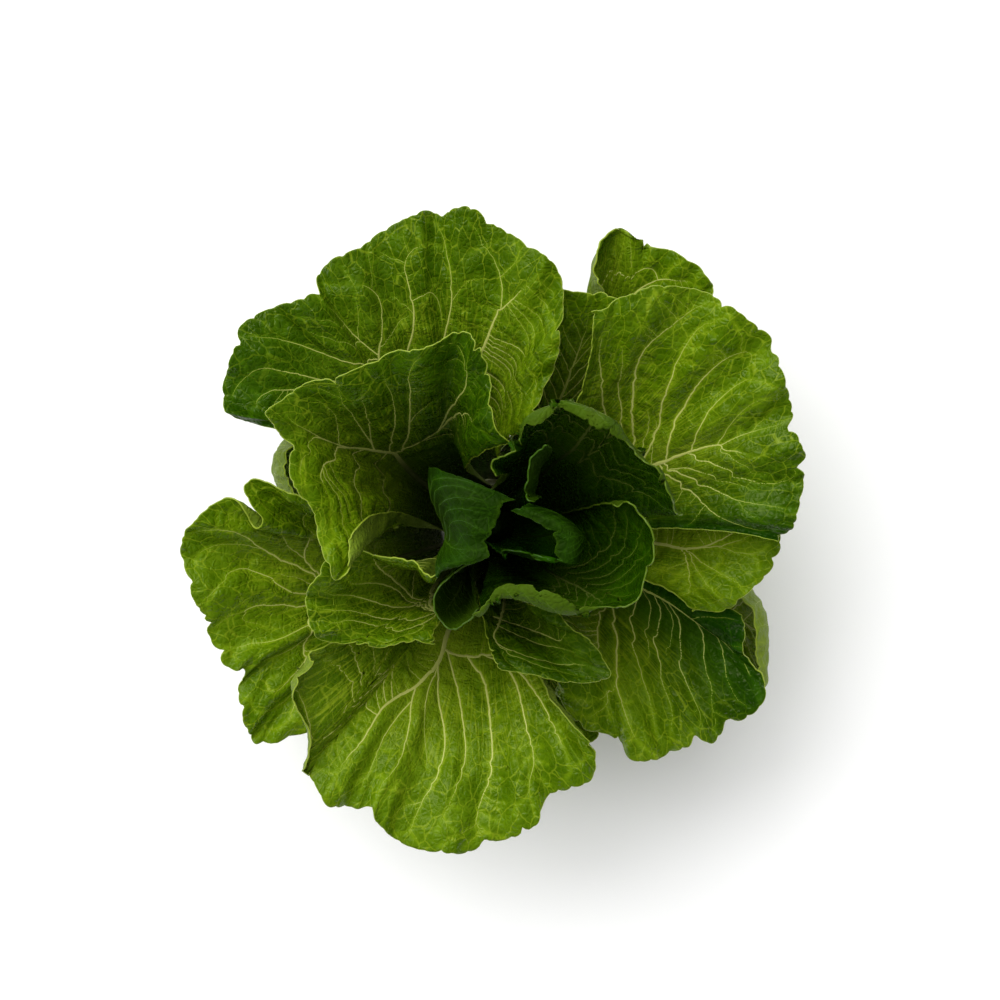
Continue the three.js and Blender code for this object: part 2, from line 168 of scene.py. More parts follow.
# The main veins as they show in the view from above, each with the x and y of its points in turn, at
# SEEN_HEIGHT: the midrib first, then the veins that branch from it or from one another. The leaves that
# aren't named here get veins by rule.
VEINS = dict(
    leaf_northwest=[
        [-56, 83, -66, 92, -74, 102, -80, 109, -86, 116],
        [-58, 81, -69, 80, -84, 85, -95, 89, -101, 93, -112, 92],
        [-55, 85, -54, 96, -53, 107, -55, 115, -59, 119, -65, 120, -68, 118, -71, 126],
        [-68, 118, -76, 117, -83, 116],
        [-58, 119, -57, 126, -62, 131],
        [-65, 93, -64, 101, -66, 111, -68, 117],
        [-55, 88, -49, 95, -45, 102, -40, 104],
        [-47, 73, -39, 89, -38, 97, -38, 105, -39, 112, -41, 119, -45, 128, -43, 135, -38, 139, -31, 136,
         -25, 136],
        [-45, 129, -53, 131, -59, 129],
        [-43, 135, -46, 146],
        [-39, 112, -33, 116, -29, 117, -26, 111, -25, 96],
        [-39, 103, -43, 110, -48, 114, -50, 112],
        [-33, 67, -25, 89, -21, 101, -20, 109, -20, 118, -20, 126, -24, 135, -25, 144, -25, 151],
        [-20, 112, -15, 116, -9, 117],
        [-20, 64, -7, 82, -3, 91, -1, 101, 3, 107, 4, 116, 3, 122, 0, 130, -4, 136, -7, 143, -10, 147],
        [3, 107, 9, 109, 13, 116, 20, 121, 25, 129],
        [3, 121, 9, 127, 14, 132],
        [-50, 70, -74, 70, -89, 72, -97, 76, -107, 79, -118, 77],
        [-55, 68, -86, 65, -99, 67, -108, 69],
        [-65, 88, -74, 91, -83, 94, -92, 97],
        [-73, 98, -80, 101, -90, 104]],
    leaf_east=[
        [75, 31, 83, 33, 94, 38, 109, 42, 123, 47, 133, 49, 143, 51],
        [82, 35, 86, 50, 90, 60, 98, 70, 107, 80, 116, 86, 121, 88, 123, 94],
        [121, 87, 126, 85, 125, 78, 122, 75],
        [95, 41, 99, 49, 104, 59, 112, 66, 122, 75, 128, 74, 134, 69],
        [73, 33, 71, 40, 73, 48, 77, 57],
        [76, 35, 76, 43, 78, 55],
        [73, 34, 81, 65, 85, 71, 88, 80, 91, 88, 96, 95, 102, 101],
        [68, 39, 66, 51, 66, 65, 67, 77, 71, 87, 79, 94, 90, 100, 95, 106, 102, 110],
        [63, 41, 60, 55, 59, 72, 62, 89],
        [57, 43, 51, 58, 50, 77, 51, 94],
        [107, 42, 115, 53, 121, 60, 128, 64, 134, 66],
        [123, 47, 131, 54, 135, 59],
        [94, 36, 105, 33, 114, 27, 121, 23, 131, 21, 138, 21, 144, 25],
        [109, 41, 119, 37, 128, 34, 135, 36, 139, 40],
        [82, 30, 94, 25, 105, 19, 117, 13, 128, 12, 137, 12, 142, 9],
        [117, 13, 121, 8, 129, 5],
        [80, 29, 90, 21, 99, 14, 107, 8, 115, 3, 123, 0, 133, -2],
        [86, 31, 95, 30, 106, 25, 116, 21, 127, 19],
        [110, 40, 114, 36, 118, 30, 122, 27, 133, 26]],
    leaf_east_under=[
        [84, -7, 91, -10, 100, -9, 109, -8, 116, -11, 122, -13, 132, -11],
        [92, -11, 99, -15, 107, -21, 114, -24],
        [92, -11, 96, -19, 103, -28, 109, -32],
        [90, -11, 94, -22, 101, -32],
        [109, -8, 119, -5, 129, -1],
        [100, -9, 110, -4, 121, 0]],
    leaf_west=[
        [-79, -27, -83, -23, -94, -18, -103, -13, -112, -9, -120, -6, -128, -6, -135, -7, -142, -11],
        [-112, -9, -119, -1, -127, 2, -137, 3, -146, -1],
        [-82, -23, -94, -13, -101, -3, -111, 6, -114, 13],
        [-86, -3, -94, -1, -101, 4, -107, 13, -113, 20],
        [-94, -1, -103, -3],
        [-80, -28, -89, -26, -96, -22, -103, -21, -110, -20],
        [-81, -31, -93, -32, -99, -29, -105, -27, -109, -22, -116, -18, -122, -17, -129, -20, -133, -25,
         -136, -32, -138, -39],
        [-83, -34, -94, -37, -103, -36, -111, -35, -118, -36, -123, -39, -131, -41, -140, -45],
        [-123, -39, -124, -44, -120, -46, -112, -43, -105, -46],
        [-86, -40, -92, -45, -98, -53, -107, -53, -114, -52, -119, -54, -122, -58, -128, -59, -134, -61],
        [-88, -48, -95, -59, -105, -62, -112, -64, -119, -67],
        [-90, -58, -99, -74, -106, -79, -110, -80, -114, -76, -113, -72, -108, -70],
        [-90, -67, -98, -82, -104, -86, -112, -87, -119, -84],
        [-91, -77, -95, -91, -101, -94, -107, -96]],
    leaf_south=[
        [-21, -53, -24, -59, -28, -67, -36, -75, -40, -82, -41, -92, -42, -101, -45, -110, -48, -116, -53,
         -122, -59, -125],
        [-40, -83, -46, -88, -50, -94, -54, -100, -56, -107, -59, -114, -60, -124],
        [-37, -76, -45, -78, -54, -83, -58, -91, -61, -99, -68, -106, -74, -112, -78, -120],
        [-27, -65, -27, -77, -26, -85, -23, -93, -23, -104, -25, -114, -28, -122, -36, -131, -37, -138,
         -40, -147],
        [-36, -131, -43, -132, -47, -133],
        [-21, -58, -20, -67, -18, -73, -16, -82, -15, -92, -13, -102, -14, -116, -18, -125, -23, -134,
         -25, -141],
        [-19, -54, -13, -59, -7, -66, -3, -75, -2, -87, -1, -101, -1, -116, -3, -125, -8, -134, -10, -143,
         -10, -152],
        [-10, -143, -18, -146, -23, -139],
        [-15, -51, -4, -57, 7, -65, 12, -73, 13, -85, 16, -99, 21, -113, 20, -120, 14, -126],
        [-12, -51, 3, -58, 13, -67, 25, -85, 30, -96, 35, -107, 40, -113],
        [-42, -102, -40, -108, -39, -115],
        [-24, -61, -33, -77, -34, -89, -32, -104, -31, -116]],
    leaf_southeast=[
        [78, -31, 88, -36, 95, -42, 100, -47, 108, -53, 116, -60, 121, -67, 126, -73, 129, -78],
        [98, -40, 104, -41, 111, -42, 119, -44],
        [108, -53, 114, -54, 120, -54],
        [97, -44, 99, -55, 101, -64, 103, -72, 106, -80, 107, -86, 107, -93],
        [107, -53, 109, -60, 111, -68, 114, -78, 118, -85],
        [84, -34, 87, -40, 88, -49, 89, -59, 90, -67, 93, -77, 98, -84, 102, -92],
        [78, -32, 78, -40, 78, -49, 78, -60, 80, -70, 82, -77, 86, -83],
        [68, -29, 65, -36, 67, -46, 67, -57, 69, -67, 73, -75, 76, -83],
        [61, -30, 56, -36, 58, -48, 60, -58, 59, -66, 56, -73, 55, -82, 50, -89],
        [73, -30, 73, -38, 74, -53, 74, -65],
        [57, -30, 49, -39, 50, -53, 51, -60],
        [81, -32, 84, -40, 84, -53, 84, -63],
        [59, -76, 62, -84, 64, -93]],
    leaf_northwest_upper=[
        [-42, 30, -46, 34, -52, 37, -59, 39, -67, 40, -74, 41, -82, 43, -88, 47, -94, 51, -101, 54],
        [-57, 40, -59, 48, -61, 57, -63, 65, -64, 72],
        [-59, 42, -65, 51, -68, 58, -72, 63, -78, 67],
        [-74, 42, -74, 50, -76, 57, -80, 61],
        [-50, 38, -48, 48, -47, 58, -49, 66, -52, 71],
        [-44, 35, -42, 43, -40, 51, -40, 61, -40, 70, -42, 79],
        [-40, 51, -36, 59, -32, 63],
        [-40, 33, -32, 37, -27, 40, -25, 45],
        [-40, 32, -28, 45, -21, 53, -13, 55, -6, 51],
        [-26, 48, -16, 64, -10, 69, -13, 79],
        [-64, 38, -66, 32, -68, 26],
        [-51, 37, -52, 29, -54, 23, -59, 18],
        [-43, 31, -43, 19, -48, 10, -55, 5],
        [-71, 40, -76, 34, -84, 30],
        [-84, 45, -90, 40, -94, 33]],
    leaf_southwest=[
        [-26, -42, -33, -37, -40, -32, -48, -27, -57, -24, -67, -25, -72, -27],
        [-27, -42, -36, -42, -45, -44, -55, -41, -67, -38, -81, -38, -90, -40],
        [-27, -44, -38, -48, -47, -48, -60, -44, -72, -42, -84, -46],
        [-28, -40, -33, -34, -38, -28, -37, -21, -40, -14],
        [-33, -37, -43, -37, -53, -36, -63, -32, -74, -30, -84, -32],
        [-27, -47, -36, -52, -45, -53, -57, -52],
        [-40, -32, -45, -24, -53, -18, -59, -13]],
    leaf_southeast_upper=[
        [-12, -44, -2, -52, 7, -59, 17, -63, 32, -63, 46, -64, 55, -67],
        [-9, -43, 3, -47, 15, -53, 27, -55, 41, -58],
        [-6, -41, 8, -44, 22, -49, 37, -54],
        [-12, -46, -3, -55, 7, -64, 15, -69, 25, -72],
        [-9, -47, 3, -57, 13, -64, 27, -67, 42, -70]],
    low_leaf_north=[
        [67, 114, 73, 118, 78, 121, 82, 122, 85, 126, 87, 132],
        [78, 121, 79, 126, 76, 131, 70, 127, 63, 124],
        [82, 122, 90, 119, 96, 121]],
)

# Fine blade: mesh spacing, the most points that a side of one leaf may have, and how the rows close up
# towards the rim.
SPACING = 1.15
MOST_POINTS = 46000
ROW_CROWDING = 0.8
RIM_STEPS = 400

# Bubbles between the twigs, broader ones between the main veins, and small ruffles at the edge, each as
# wavelength, size and share of the leaf. The heart's young leaves are smoother.
BLISTER = 0.95
BLISTER_REACH = 2.2
PILLOW = 1.15
PILLOW_REACH = 8
RUFFLES = [(15, 1.3, 0.22), (6.5, 0.55, 0.1)]
YOUNG_LAYER = 14
YOUNG_RELIEF = 0.6

# The edge draws in by shallow lobes and by teeth, of which a few are deeper notches. Teeth stand closer on
# the heart leaves and are deeper. Those of the low leaves are small.
LOBE_LENGTH = 15
LOBE_DEPTH = 2.2
TOOTH_GAP = (4, 11)
TOOTH_DEPTH = (0.5, 1.7)
TOOTH_WIDTH = (0.9, 2.2)
NOTCH_DEPTH = (3, 5.5)
NOTCH_SHARE = 0.09
HEART_CROWDING = 0.5
HEART_TEETH = 1.4
LOW_TEETH = 0.4
SIDE_TEETH = 0.6

# Veins: growth step, how near a vein satisfies a spot of blade, and the area that each spot stands for.
VEIN_STEP = 2.6
VEIN_SATISFIES = 3.6
VEIN_SPOT_AREA = 26
GROWTH_ROUNDS = 90
# Half width of the thinnest vein, how it swells with what it feeds, and its share at the foot and at the rim.
VEIN_TWIG = 0.115
VEIN_SWELL = 0.36
VEIN_FOOT = 1.6
VEIN_END = 0.8
HEART_VEIN_SHARE = 0.7
MAIN_VEIN = 0.42
# Smoothing passes of the grown net and of the traced veins, and how far a traced vein may miss the blade.
VEIN_SMOOTHING = 14
TRACE_SMOOTHING = 40
TRACE_MISS = 4
# Side veins on each side of a midrib that is drawn by rule, and the share of its length where they start.
LATERALS = 7
LATERALS_START = 0.36
TUBE_SIDES = 6

# The bead along the edge: half width, how far it stands out of the blade, and its paleness.
BEAD = 0.24
HEART_BEAD = 0.16
BEAD_RISE = 0.05
BEAD_SHADE = 0.2

# How far from a vein the blade's colour still tells the distance, and the unit of the grain's chart.
GAP_REACH = 6
CHART_UNIT = 100

# How much brighter than its own colour the floor is lit.
LIGHT_GAIN = 1.3


def unit(vectors):
    return vectors / np.maximum(np.linalg.norm(vectors, axis=-1, keepdims=True), 1e-9)


def lerp(a, b, share):
    return a + (b - a) * share


def smoothstep(low, high, x):
    t = np.clip((x - low) / (high - low), 0, 1)
    return t * t * (3 - 2 * t)


def seen(point):
    """A point read in the view from above, moved along the line of sight to its real height."""
    x, y, height = point[:3]
    spread = (EYE[2] - height) / (EYE[2] - SEEN_HEIGHT)
    return [EYE[0] + (x - EYE[0]) * spread, EYE[1] + (y - EYE[1]) * spread, height]


def spline(points, t):
    """The rim's curve through its points, which the leaf's frame uses too."""
    last = len(points) - 1
    place = np.clip(t, 0, 1) * last
    i = np.minimum(place.astype(int), last - 1)
    w = (place - i)[..., None]
    padded = np.vstack([2 * points[0] - points[1], points, 2 * points[-1] - points[-2]])
    p0, p1, p2, p3 = (padded[i + k] for k in range(4))
    t0, t1 = 0.5 * (p2 - p0), 0.5 * (p3 - p1)
    return p1 + t0 * w + (3 * (p2 - p1) - 2 * t0 - t1) * w ** 2 + (2 * (p1 - p2) + t0 + t1) * w ** 3


def sheet(leaf, layer, across, along):
    """Points of a leaf's middle surface, without waves, for arrays of places across and along it."""
    last = len(LEAVES) - 1
    radius = lerp(ROOT_OUTER_RADIUS, ROOT_INNER_RADIUS, layer / last)
    root_height = max(0, layer - FLUSH_LEAVES) / (last - FLUSH_LEAVES) * ROOT_TOP
    points = np.array([seen(p) for p in leaf["rim"]])
    rolls = [p[3] if len(p) > 3 else 0 for p in leaf["rim"]]
    throat = np.array(seen(leaf["throat"]))
    tip = leaf["tip"] / (len(points) - 1)
    lean = leaf.get("lean", [0, 0])
    heading = np.radians(leaf["turn"] + (across - tip) * leaf.get("clasp", CLASP_ANGLE))
    level = np.full_like(heading, root_height)
    start = np.stack([radius * np.cos(heading), radius * np.sin(heading), level], -1)
    end = spline(points, across)
    tangent = unit(spline(points, across + 1e-3) - spline(points, across - 1e-3))
    shoulder = (end - points.mean(0)) * leaf["gather"] + throat
    shoulder[..., 0] += lean[0] * (across - 0.5)
    shoulder[..., 1] += lean[1] * (across - 0.5)
    shoulder[..., 2] = throat[2]
    upright = lerp(start, shoulder, leaf.get("belly", BELLY))
    upright[..., 2] = lerp(root_height, throat[2], UPRIGHT_SHARE)
    roll = np.interp(across * (len(points) - 1), np.arange(len(points)), rolls)
    outward = unit(end - shoulder)
    end = end - outward * [1, 1, 0] * roll[..., None]
    turnover = 1 - ROLL_SHARE * np.minimum(1, roll / FULL_ROLL)
    t = np.minimum(1, along / turnover)[..., None]
    u = 1 - t
    vein = u ** 3 * start + 3 * t * u ** 2 * upright + 3 * t * t * u * shoulder + t ** 3 * end
    angle = ROLL_ANGLE * np.maximum(0, along - turnover) / np.maximum(1 - turnover, 1e-6)
    inward = unit(np.cross(outward, tangent))
    curl = roll[..., None] * (np.sin(angle)[..., None] * outward + (1 - np.cos(angle))[..., None] * inward)
    return vein + curl


def ripple(places, wavelength, rng, terms=7):
    """Smooth noise of about the given wavelength, between about -1 and 1, at points in space."""
    waves = unit(rng.normal(size=(terms, 3))) * rng.uniform(0.7, 1.4, (terms, 1)) * 2 * np.pi / wavelength
    phases = rng.uniform(0, 2 * np.pi, terms)
    return np.cos(places @ waves.T + phases).sum(-1) * math.sqrt(2 / terms) * 0.7


def notches(length, rng, crowding=1, depth_share=1):
    """How far the leaf's edge draws in along its length: shallow lobes parted by small sharp notches."""
    cuts = []
    place = rng.uniform(0, TOOTH_GAP[0])
    while place < length:
        depths = NOTCH_DEPTH if rng.random() < NOTCH_SHARE else TOOTH_DEPTH
        cuts.append((place, rng.uniform(*depths), rng.uniform(*TOOTH_WIDTH)))
        place += rng.uniform(*TOOTH_GAP) * crowding
    at, depth, width = (np.array(c) for c in zip(*cuts))
    knots = np.arange(0, length + 4 * LOBE_LENGTH, LOBE_LENGTH)
    lobes = rng.uniform(0, 1, len(knots))

    def inset(s):
        teeth = depth_share * (depth * np.exp(-np.abs(s[..., None] - at) / width)).sum(-1)
        i = np.minimum((s / LOBE_LENGTH).astype(int), len(knots) - 2)
        w = smoothstep(0, 1, s / LOBE_LENGTH - i)
        return teeth + LOBE_DEPTH * lerp(lobes[i], lobes[i + 1], w)

    return inset


def bites(leaf, line, run, s):
    """How far this leaf's deeper notches draw its edge in. line is the rim and run the length along it."""
    shown = view_from_above(line)
    total = np.zeros_like(s)
    for x, y, depth, width in leaf.get("bites", []):
        at = run[np.linalg.norm(shown - [x, y], axis=1).argmin()]
        total += depth * np.exp(-((s - at) / width) ** 2)
    return total


def sample(grid, at):
    """Values of a grid at places (column, row) between its points."""
    column = np.clip(at[:, 0], 0, grid.shape[0] - 1.001)
    row = np.clip(at[:, 1], 0, grid.shape[1] - 1.001)
    i, j = column.astype(int), row.astype(int)
    a, b = (column - i)[:, None], (row - j)[:, None]
    low = grid[i, j] * (1 - a) + grid[i + 1, j] * a
    high = grid[i, j + 1] * (1 - a) + grid[i + 1, j + 1] * a
    return low * (1 - b) + high * b


def view_from_above(points):
    """Where points show in the view from above, at SEEN_HEIGHT."""
    spread = (EYE[2] - SEEN_HEIGHT) / (EYE[2] - points[..., 2])
    return EYE[:2] + (points[..., :2] - EYE[:2]) * spread[..., None]


def traced_veins(leaf, skin):
    """The veins that are listed for this leaf, as chains of grid places that show where the list says."""
    columns, rows = skin.shape[0] - 1, skin.shape[1] - 1
    shown = view_from_above(skin)
    first_row = int(rows * 0.4)
    chains = []
    for points in VEINS[leaf["name"]]:
        points = np.array(points, float).reshape(-1, 2)
        steps = np.linspace(0, 1, 1 + 10 * (len(points) - 1))
        line = spline(points, steps)
        away = np.linalg.norm(shown[None, :, first_row:] - line[:, None, None], axis=-1)
        flat = away.reshape(len(line), -1)
        nearest = flat.argmin(1)
        place = np.stack(np.unravel_index(nearest, away.shape[1:]), -1) + [0, first_row]
        place = place[flat.min(1) < TRACE_MISS].astype(float)
        place = place[(place[:, 0] > 1) & (place[:, 0] < columns - 1) & (place[:, 1] < rows - 1)]
        if len(place) < 4:
            continue
        jump = np.abs(np.diff(place, axis=0)).max(1) > 12
        if jump.any():
            place = place[:int(np.argmax(jump)) + 1]
        if len(place) < 4:
            continue
        for _ in range(TRACE_SMOOTHING):
            place[1:-1] = (place[:-2] + 2 * place[1:-1] + place[2:]) / 4
        chains.append(place)
    return chains


def ruled_veins(leaf, skin):
    """A midrib and side veins by rule, as chains of grid places. A side vein bends out from the midrib."""
    columns, rows = skin.shape[0] - 1, skin.shape[1] - 1
    tip = leaf["tip"] / (len(leaf["rim"]) - 1)
    chains = [[(tip, v) for v in np.linspace(0.4, 0.96, 60)]]
    for side, reach in ((-1, tip), (1, 1 - tip)):
        for k in range(LATERALS):
            start = lerp(LATERALS_START, 0.86, (k + (0.25 if side > 0 else 0.6)) / LATERALS)
            end = tip + side * reach * 0.96 * (1 - k / LATERALS) ** 0.9
            t = np.linspace(0, 1, 60)
            u = tip + (end - tip) * np.sin(t * np.pi / 2) ** 1.15
            chains.append(list(zip(u, lerp(start, 0.95, t ** 1.2))))
    return [np.array(c) ** [1, 1 / ROW_CROWDING] * [columns, rows] for c in chains]


def even_steps(skin, track):
    """The same track as places a vein's step apart."""
    gaps = np.linalg.norm(np.diff(sample(skin, track), axis=0), axis=1)
    run = np.concatenate([[0], np.cumsum(gaps)])
    steps = np.arange(0, run[-1] + VEIN_STEP / 2, VEIN_STEP)
    return np.stack([np.interp(steps, run, track[:, k]) for k in range(2)], -1)


def plant(leaf, skin, rng):
    """Starts the vein net: nodes at even steps along the main veins. Returns their places and parents."""
    columns, rows = skin.shape[0] - 1, skin.shape[1] - 1
    root = np.array([leaf["tip"] / (len(leaf["rim"]) - 1) * columns, 1.0])
    traced = leaf["name"] in VEINS
    chains = traced_veins(leaf, skin) if traced else ruled_veins(leaf, skin)
    midrib = even_steps(skin, np.vstack([root, chains[0]]))
    if not traced:
        midrib[:, 0] += 1.5 * np.sin(np.arange(len(midrib)) / 8 + rng.uniform(0, 6))
    places = list(midrib)
    parents = list(range(-1, len(midrib) - 1))
    for chain in chains[1:]:
        points = sample(skin, np.array(places))
        start = sample(skin, chain[:1])
        past = np.maximum(0, np.array(places)[:, 1] - chain[0, 1])
        parent = int((np.linalg.norm(points - start, axis=1) + 0.8 * past).argmin())
        track = even_steps(skin, np.vstack([places[parent], chain]))
        if not traced:
            track[:, 0] += np.sin(np.arange(len(track)) / 4 + rng.uniform(0, 6)) * 0.8
        for place in track[1:]:
            places.append(place)
            parents.append(parent)
            parent = len(places) - 1
    return places, parents


def grow(leaf, skin, rng):
    """Fills the blade with twigs that grow from the planted veins towards spots that none has reached yet."""
    columns, rows = skin.shape[0] - 1, skin.shape[1] - 1
    along_i, along_j = np.gradient(skin, axis=0), np.gradient(skin, axis=1)
    area = np.linalg.norm(np.cross(along_i, along_j), axis=-1)
    height = np.linspace(0, 1, rows + 1)[None, :]
    weight = area * smoothstep(0.3, 0.45, height)
    count = int(weight.sum() / VEIN_SPOT_AREA)
    pick = rng.choice(weight.size, count, p=(weight / weight.sum()).ravel())
    spots = np.stack([pick // (rows + 1), pick % (rows + 1)], -1) + rng.uniform(-0.5, 0.5, (count, 2))
    targets = sample(skin, spots)
    places, parents = plant(leaf, skin, rng)
    places = np.array(places)
    points = sample(skin, places)
    heading = unit(points - points[np.maximum(parents, 0)])
    apart = np.linalg.norm(targets[:, None] - points[None], axis=-1)
    nearest, distance = apart.argmin(1), apart.min(1)
    alive = distance > VEIN_SATISFIES
    for _ in range(GROWTH_ROUNDS):
        if not alive.any():
            break
        pull = unit(targets[alive] - points[nearest[alive]])
        sums = np.zeros_like(points)
        np.add.at(sums, nearest[alive], pull)
        who = np.unique(nearest[alive])
        way = unit(unit(sums[who]) + 0.35 * heading[who])
        gi, gj = sample(along_i, places[who]), sample(along_j, places[who])
        a, b, c = (gi * gi).sum(-1), (gi * gj).sum(-1), (gj * gj).sum(-1)
        wi, wj = (gi * way).sum(-1), (gj * way).sum(-1)
        det = np.maximum(a * c - b * b, 1e-6)
        move = np.stack([(c * wi - b * wj) / det, (a * wj - b * wi) / det], -1) * VEIN_STEP
        fresh = np.clip(places[who] + move, [1, 1], [columns - 1, rows - 1])
        fresh_points = sample(skin, fresh)
        clear = np.linalg.norm(fresh_points[:, None] - points[None], axis=-1).min(1) > 0.45 * VEIN_STEP
        stuck = np.isin(nearest, who[~clear]) & alive
        alive &= ~stuck
        if not clear.any():
            continue
        first_new = len(points)
        places = np.vstack([places, fresh[clear]])
        points = np.vstack([points, fresh_points[clear]])
        parents.extend(int(k) for k in who[clear])
        heading = np.vstack([heading, unit(fresh_points[clear] - points[who[clear]])])
        apart = np.linalg.norm(targets[:, None] - points[None, first_new:], axis=-1)
        closer = apart.min(1) < distance
        nearest = np.where(closer, apart.argmin(1) + first_new, nearest)
        distance = np.minimum(distance, apart.min(1))
        alive &= distance > VEIN_SATISFIES
    return places, np.array(parents)


def chains_of(places, parents, rows, share):
    """Splits the vein net into chains, thickest way first, with the half width of the vein at each place.
    share scales the widths."""
    places = places.copy()
    load = np.ones(len(parents))
    children = [[] for _ in parents]
    for k in range(len(parents) - 1, 0, -1):
        load[parents[k]] += load[k]
        children[parents[k]].append(k)
    foot = VEIN_END + (VEIN_FOOT - VEIN_END) * smoothstep(1, 0.5, places[:, 1] / rows)
    width = share * VEIN_TWIG * load ** VEIN_SWELL * foot
    starts = [(0, 0)]
    chains = []
    while starts:
        stem, node = starts.pop()
        chain = [stem, node] if stem != node else [node]
        while children[node]:
            order = sorted(children[node], key=lambda k: -load[k])
            starts.extend((node, k) for k in order[1:])
            node = order[0]
            chain.append(node)
        if len(chain) < 3:
            continue
        track = places[chain]
        half = width[chain].copy()
        if stem != node and chain[0] != 0:
            half[0] = half[1]
        for _ in range(VEIN_SMOOTHING):
            track[1:-1] = (track[:-2] + 2 * track[1:-1] + track[2:]) / 4
            half[1:-1] = (half[:-2] + 2 * half[1:-1] + half[2:]) / 4
        places[chain] = track
        fine = np.linspace(0, len(track) - 1, 2 * len(track) - 1)
        index = np.arange(len(track))
        track = np.stack([np.interp(fine, index, track[:, k]) for k in range(2)], -1)
        half = np.interp(fine, index, half)
        half[-3:] *= [0.8, 0.55, 0.25]
        chains.append((track, half))
    return chains


def shifted(grid, di, dj):
    """The grid moved by whole steps, with -1 where nothing moved in."""
    moved = np.full_like(grid, -1)
    n, m = grid.shape
    moved[max(0, di):n + min(0, di), max(0, dj):m + min(0, dj)] = \
        grid[max(0, -di):n + min(0, -di), max(0, -dj):m + min(0, -dj)]
    return moved


def nearest_vein(skin, chains, thinnest):
    """Distance from each grid point to the nearest vein at least that wide, and that vein's half width."""
    track = np.vstack([c[0][c[1] >= thinnest] for c in chains])
    half = np.concatenate([c[1][c[1] >= thinnest] for c in chains])
    points = sample(skin, track)
    best = np.full(skin.shape[:2], -1)
    cell = np.rint(track).astype(int)
    cell = np.clip(cell, 0, np.array(skin.shape[:2]) - 1)
    best[cell[:, 0], cell[:, 1]] = np.arange(len(track))
    distance = np.where(best >= 0, np.linalg.norm(skin - points[best], axis=-1), 1e9)
    for step in (s for s in (32, 16, 8, 4, 2, 1, 1) if s < min(best.shape)):
        for di in (-step, 0, step):
            for dj in (-step, 0, step):
                other = shifted(best, di, dj)
                reach = np.where(other >= 0, np.linalg.norm(skin - points[other], axis=-1), 1e9)
                closer = reach < distance
                best = np.where(closer, other, best)
                distance = np.where(closer, reach, distance)
    return distance, half[best]


def mesh_object(name, points, faces, colours, material):
    """A smooth mesh in metres with the point colours that its material reads."""
    mesh = bpy.data.meshes.new(name)
    mesh.vertices.add(len(points))
    mesh.vertices.foreach_set("co", (points * MM).astype(np.float32).ravel())
    mesh.loops.add(faces.size)
    mesh.loops.foreach_set("vertex_index", faces.astype(np.int32).ravel())
    mesh.polygons.add(len(faces))
    mesh.polygons.foreach_set("loop_start", np.arange(0, faces.size, faces.shape[1], dtype=np.int32))
    mesh.polygons.foreach_set("use_smooth", np.ones(len(faces), bool))
    mesh.update(calc_edges=True)
    for key, values in colours.items():
        attribute = mesh.attributes.new(key, "FLOAT_COLOR", "POINT")
        attribute.data.foreach_set("color", values.astype(np.float32).ravel())
    mesh.materials.append(material)
    piece = bpy.data.objects.new(name, mesh)
    bpy.context.scene.collection.objects.link(piece)
    return piece


def closed_faces(n, m):
    """Quads of a front grid of n columns and m rows, a back grid behind it and the walls between them."""
    index = np.arange(n * m).reshape(n, m)
    a, b, c, d = index[:-1, :-1], index[:-1, 1:], index[1:, 1:], index[1:, :-1]
    front = np.stack([a, b, c, d], -1).reshape(-1, 4)
    back = front[:, ::-1] + n * m
    loop = np.concatenate([index[:, 0], index[-1, 1:], index[-2::-1, -1], index[0, -2:0:-1]])
    after = np.roll(loop, -1)
    walls = np.stack([loop, after, after + n * m, loop + n * m], -1)
    return np.vstack([front, back, walls])


def tubes(skin, normals, chains, rise, depth):
    """Closed tubes along chains of grid places. rise and depth are how far they stand out of the two faces.
    Returns points, faces, and the half width and the share of the leaf's length at each point."""
    points, faces, halves, heights = [], [], [], []
    count = 0
    turn = np.arange(TUBE_SIDES) / TUBE_SIDES * 2 * np.pi
    for track, half in chains:
        centre = sample(skin, track)
        up = unit(sample(normals, track))
        ahead = unit(np.gradient(centre, axis=0))
        side = unit(np.cross(up, ahead))
        lift = np.where(np.sin(turn) > 0, BLADE / 2 + rise(half)[:, None], BLADE / 2 + depth(half)[:, None])
        lift = lift * np.minimum(1, half / half.max() * 4 + 0.2)[:, None]
        ring = (centre[:, None] + side[:, None] * (half[:, None] * np.cos(turn))[..., None]
                + up[:, None] * (lift * np.sin(turn))[..., None])
        points.append(ring.reshape(-1, 3))
        halves.append(np.repeat(half, TUBE_SIDES))
        heights.append(np.repeat(track[:, 1] / (skin.shape[1] - 1), TUBE_SIDES))
        index = count + np.arange(len(track) * TUBE_SIDES).reshape(len(track), TUBE_SIDES)
        nxt = np.roll(index, -1, axis=1)
        faces.append(np.stack([index[:-1], nxt[:-1], nxt[1:], index[1:]], -1).reshape(-1, 4))
        for ends in (index[0][::-1], index[-1]):
            faces.append(np.array([ends[[0, 1, 2, 3]], ends[[0, 3, 4, 5]]]))
        count += len(track) * TUBE_SIDES
    return np.vstack(points), np.vstack(faces), np.concatenate(halves), np.concatenate(heights)


def rib_share(leaf, across, along):
    """How much of the midrib's full thickness there is at each place."""
    tip = leaf["tip"] / (len(leaf["rim"]) - 1)
    return (1 - along) ** RIB_FADE * np.exp(-((across - tip) / RIB_WIDTH) ** 2)


def is_heart(leaf):
    return leaf["name"].startswith("heart")


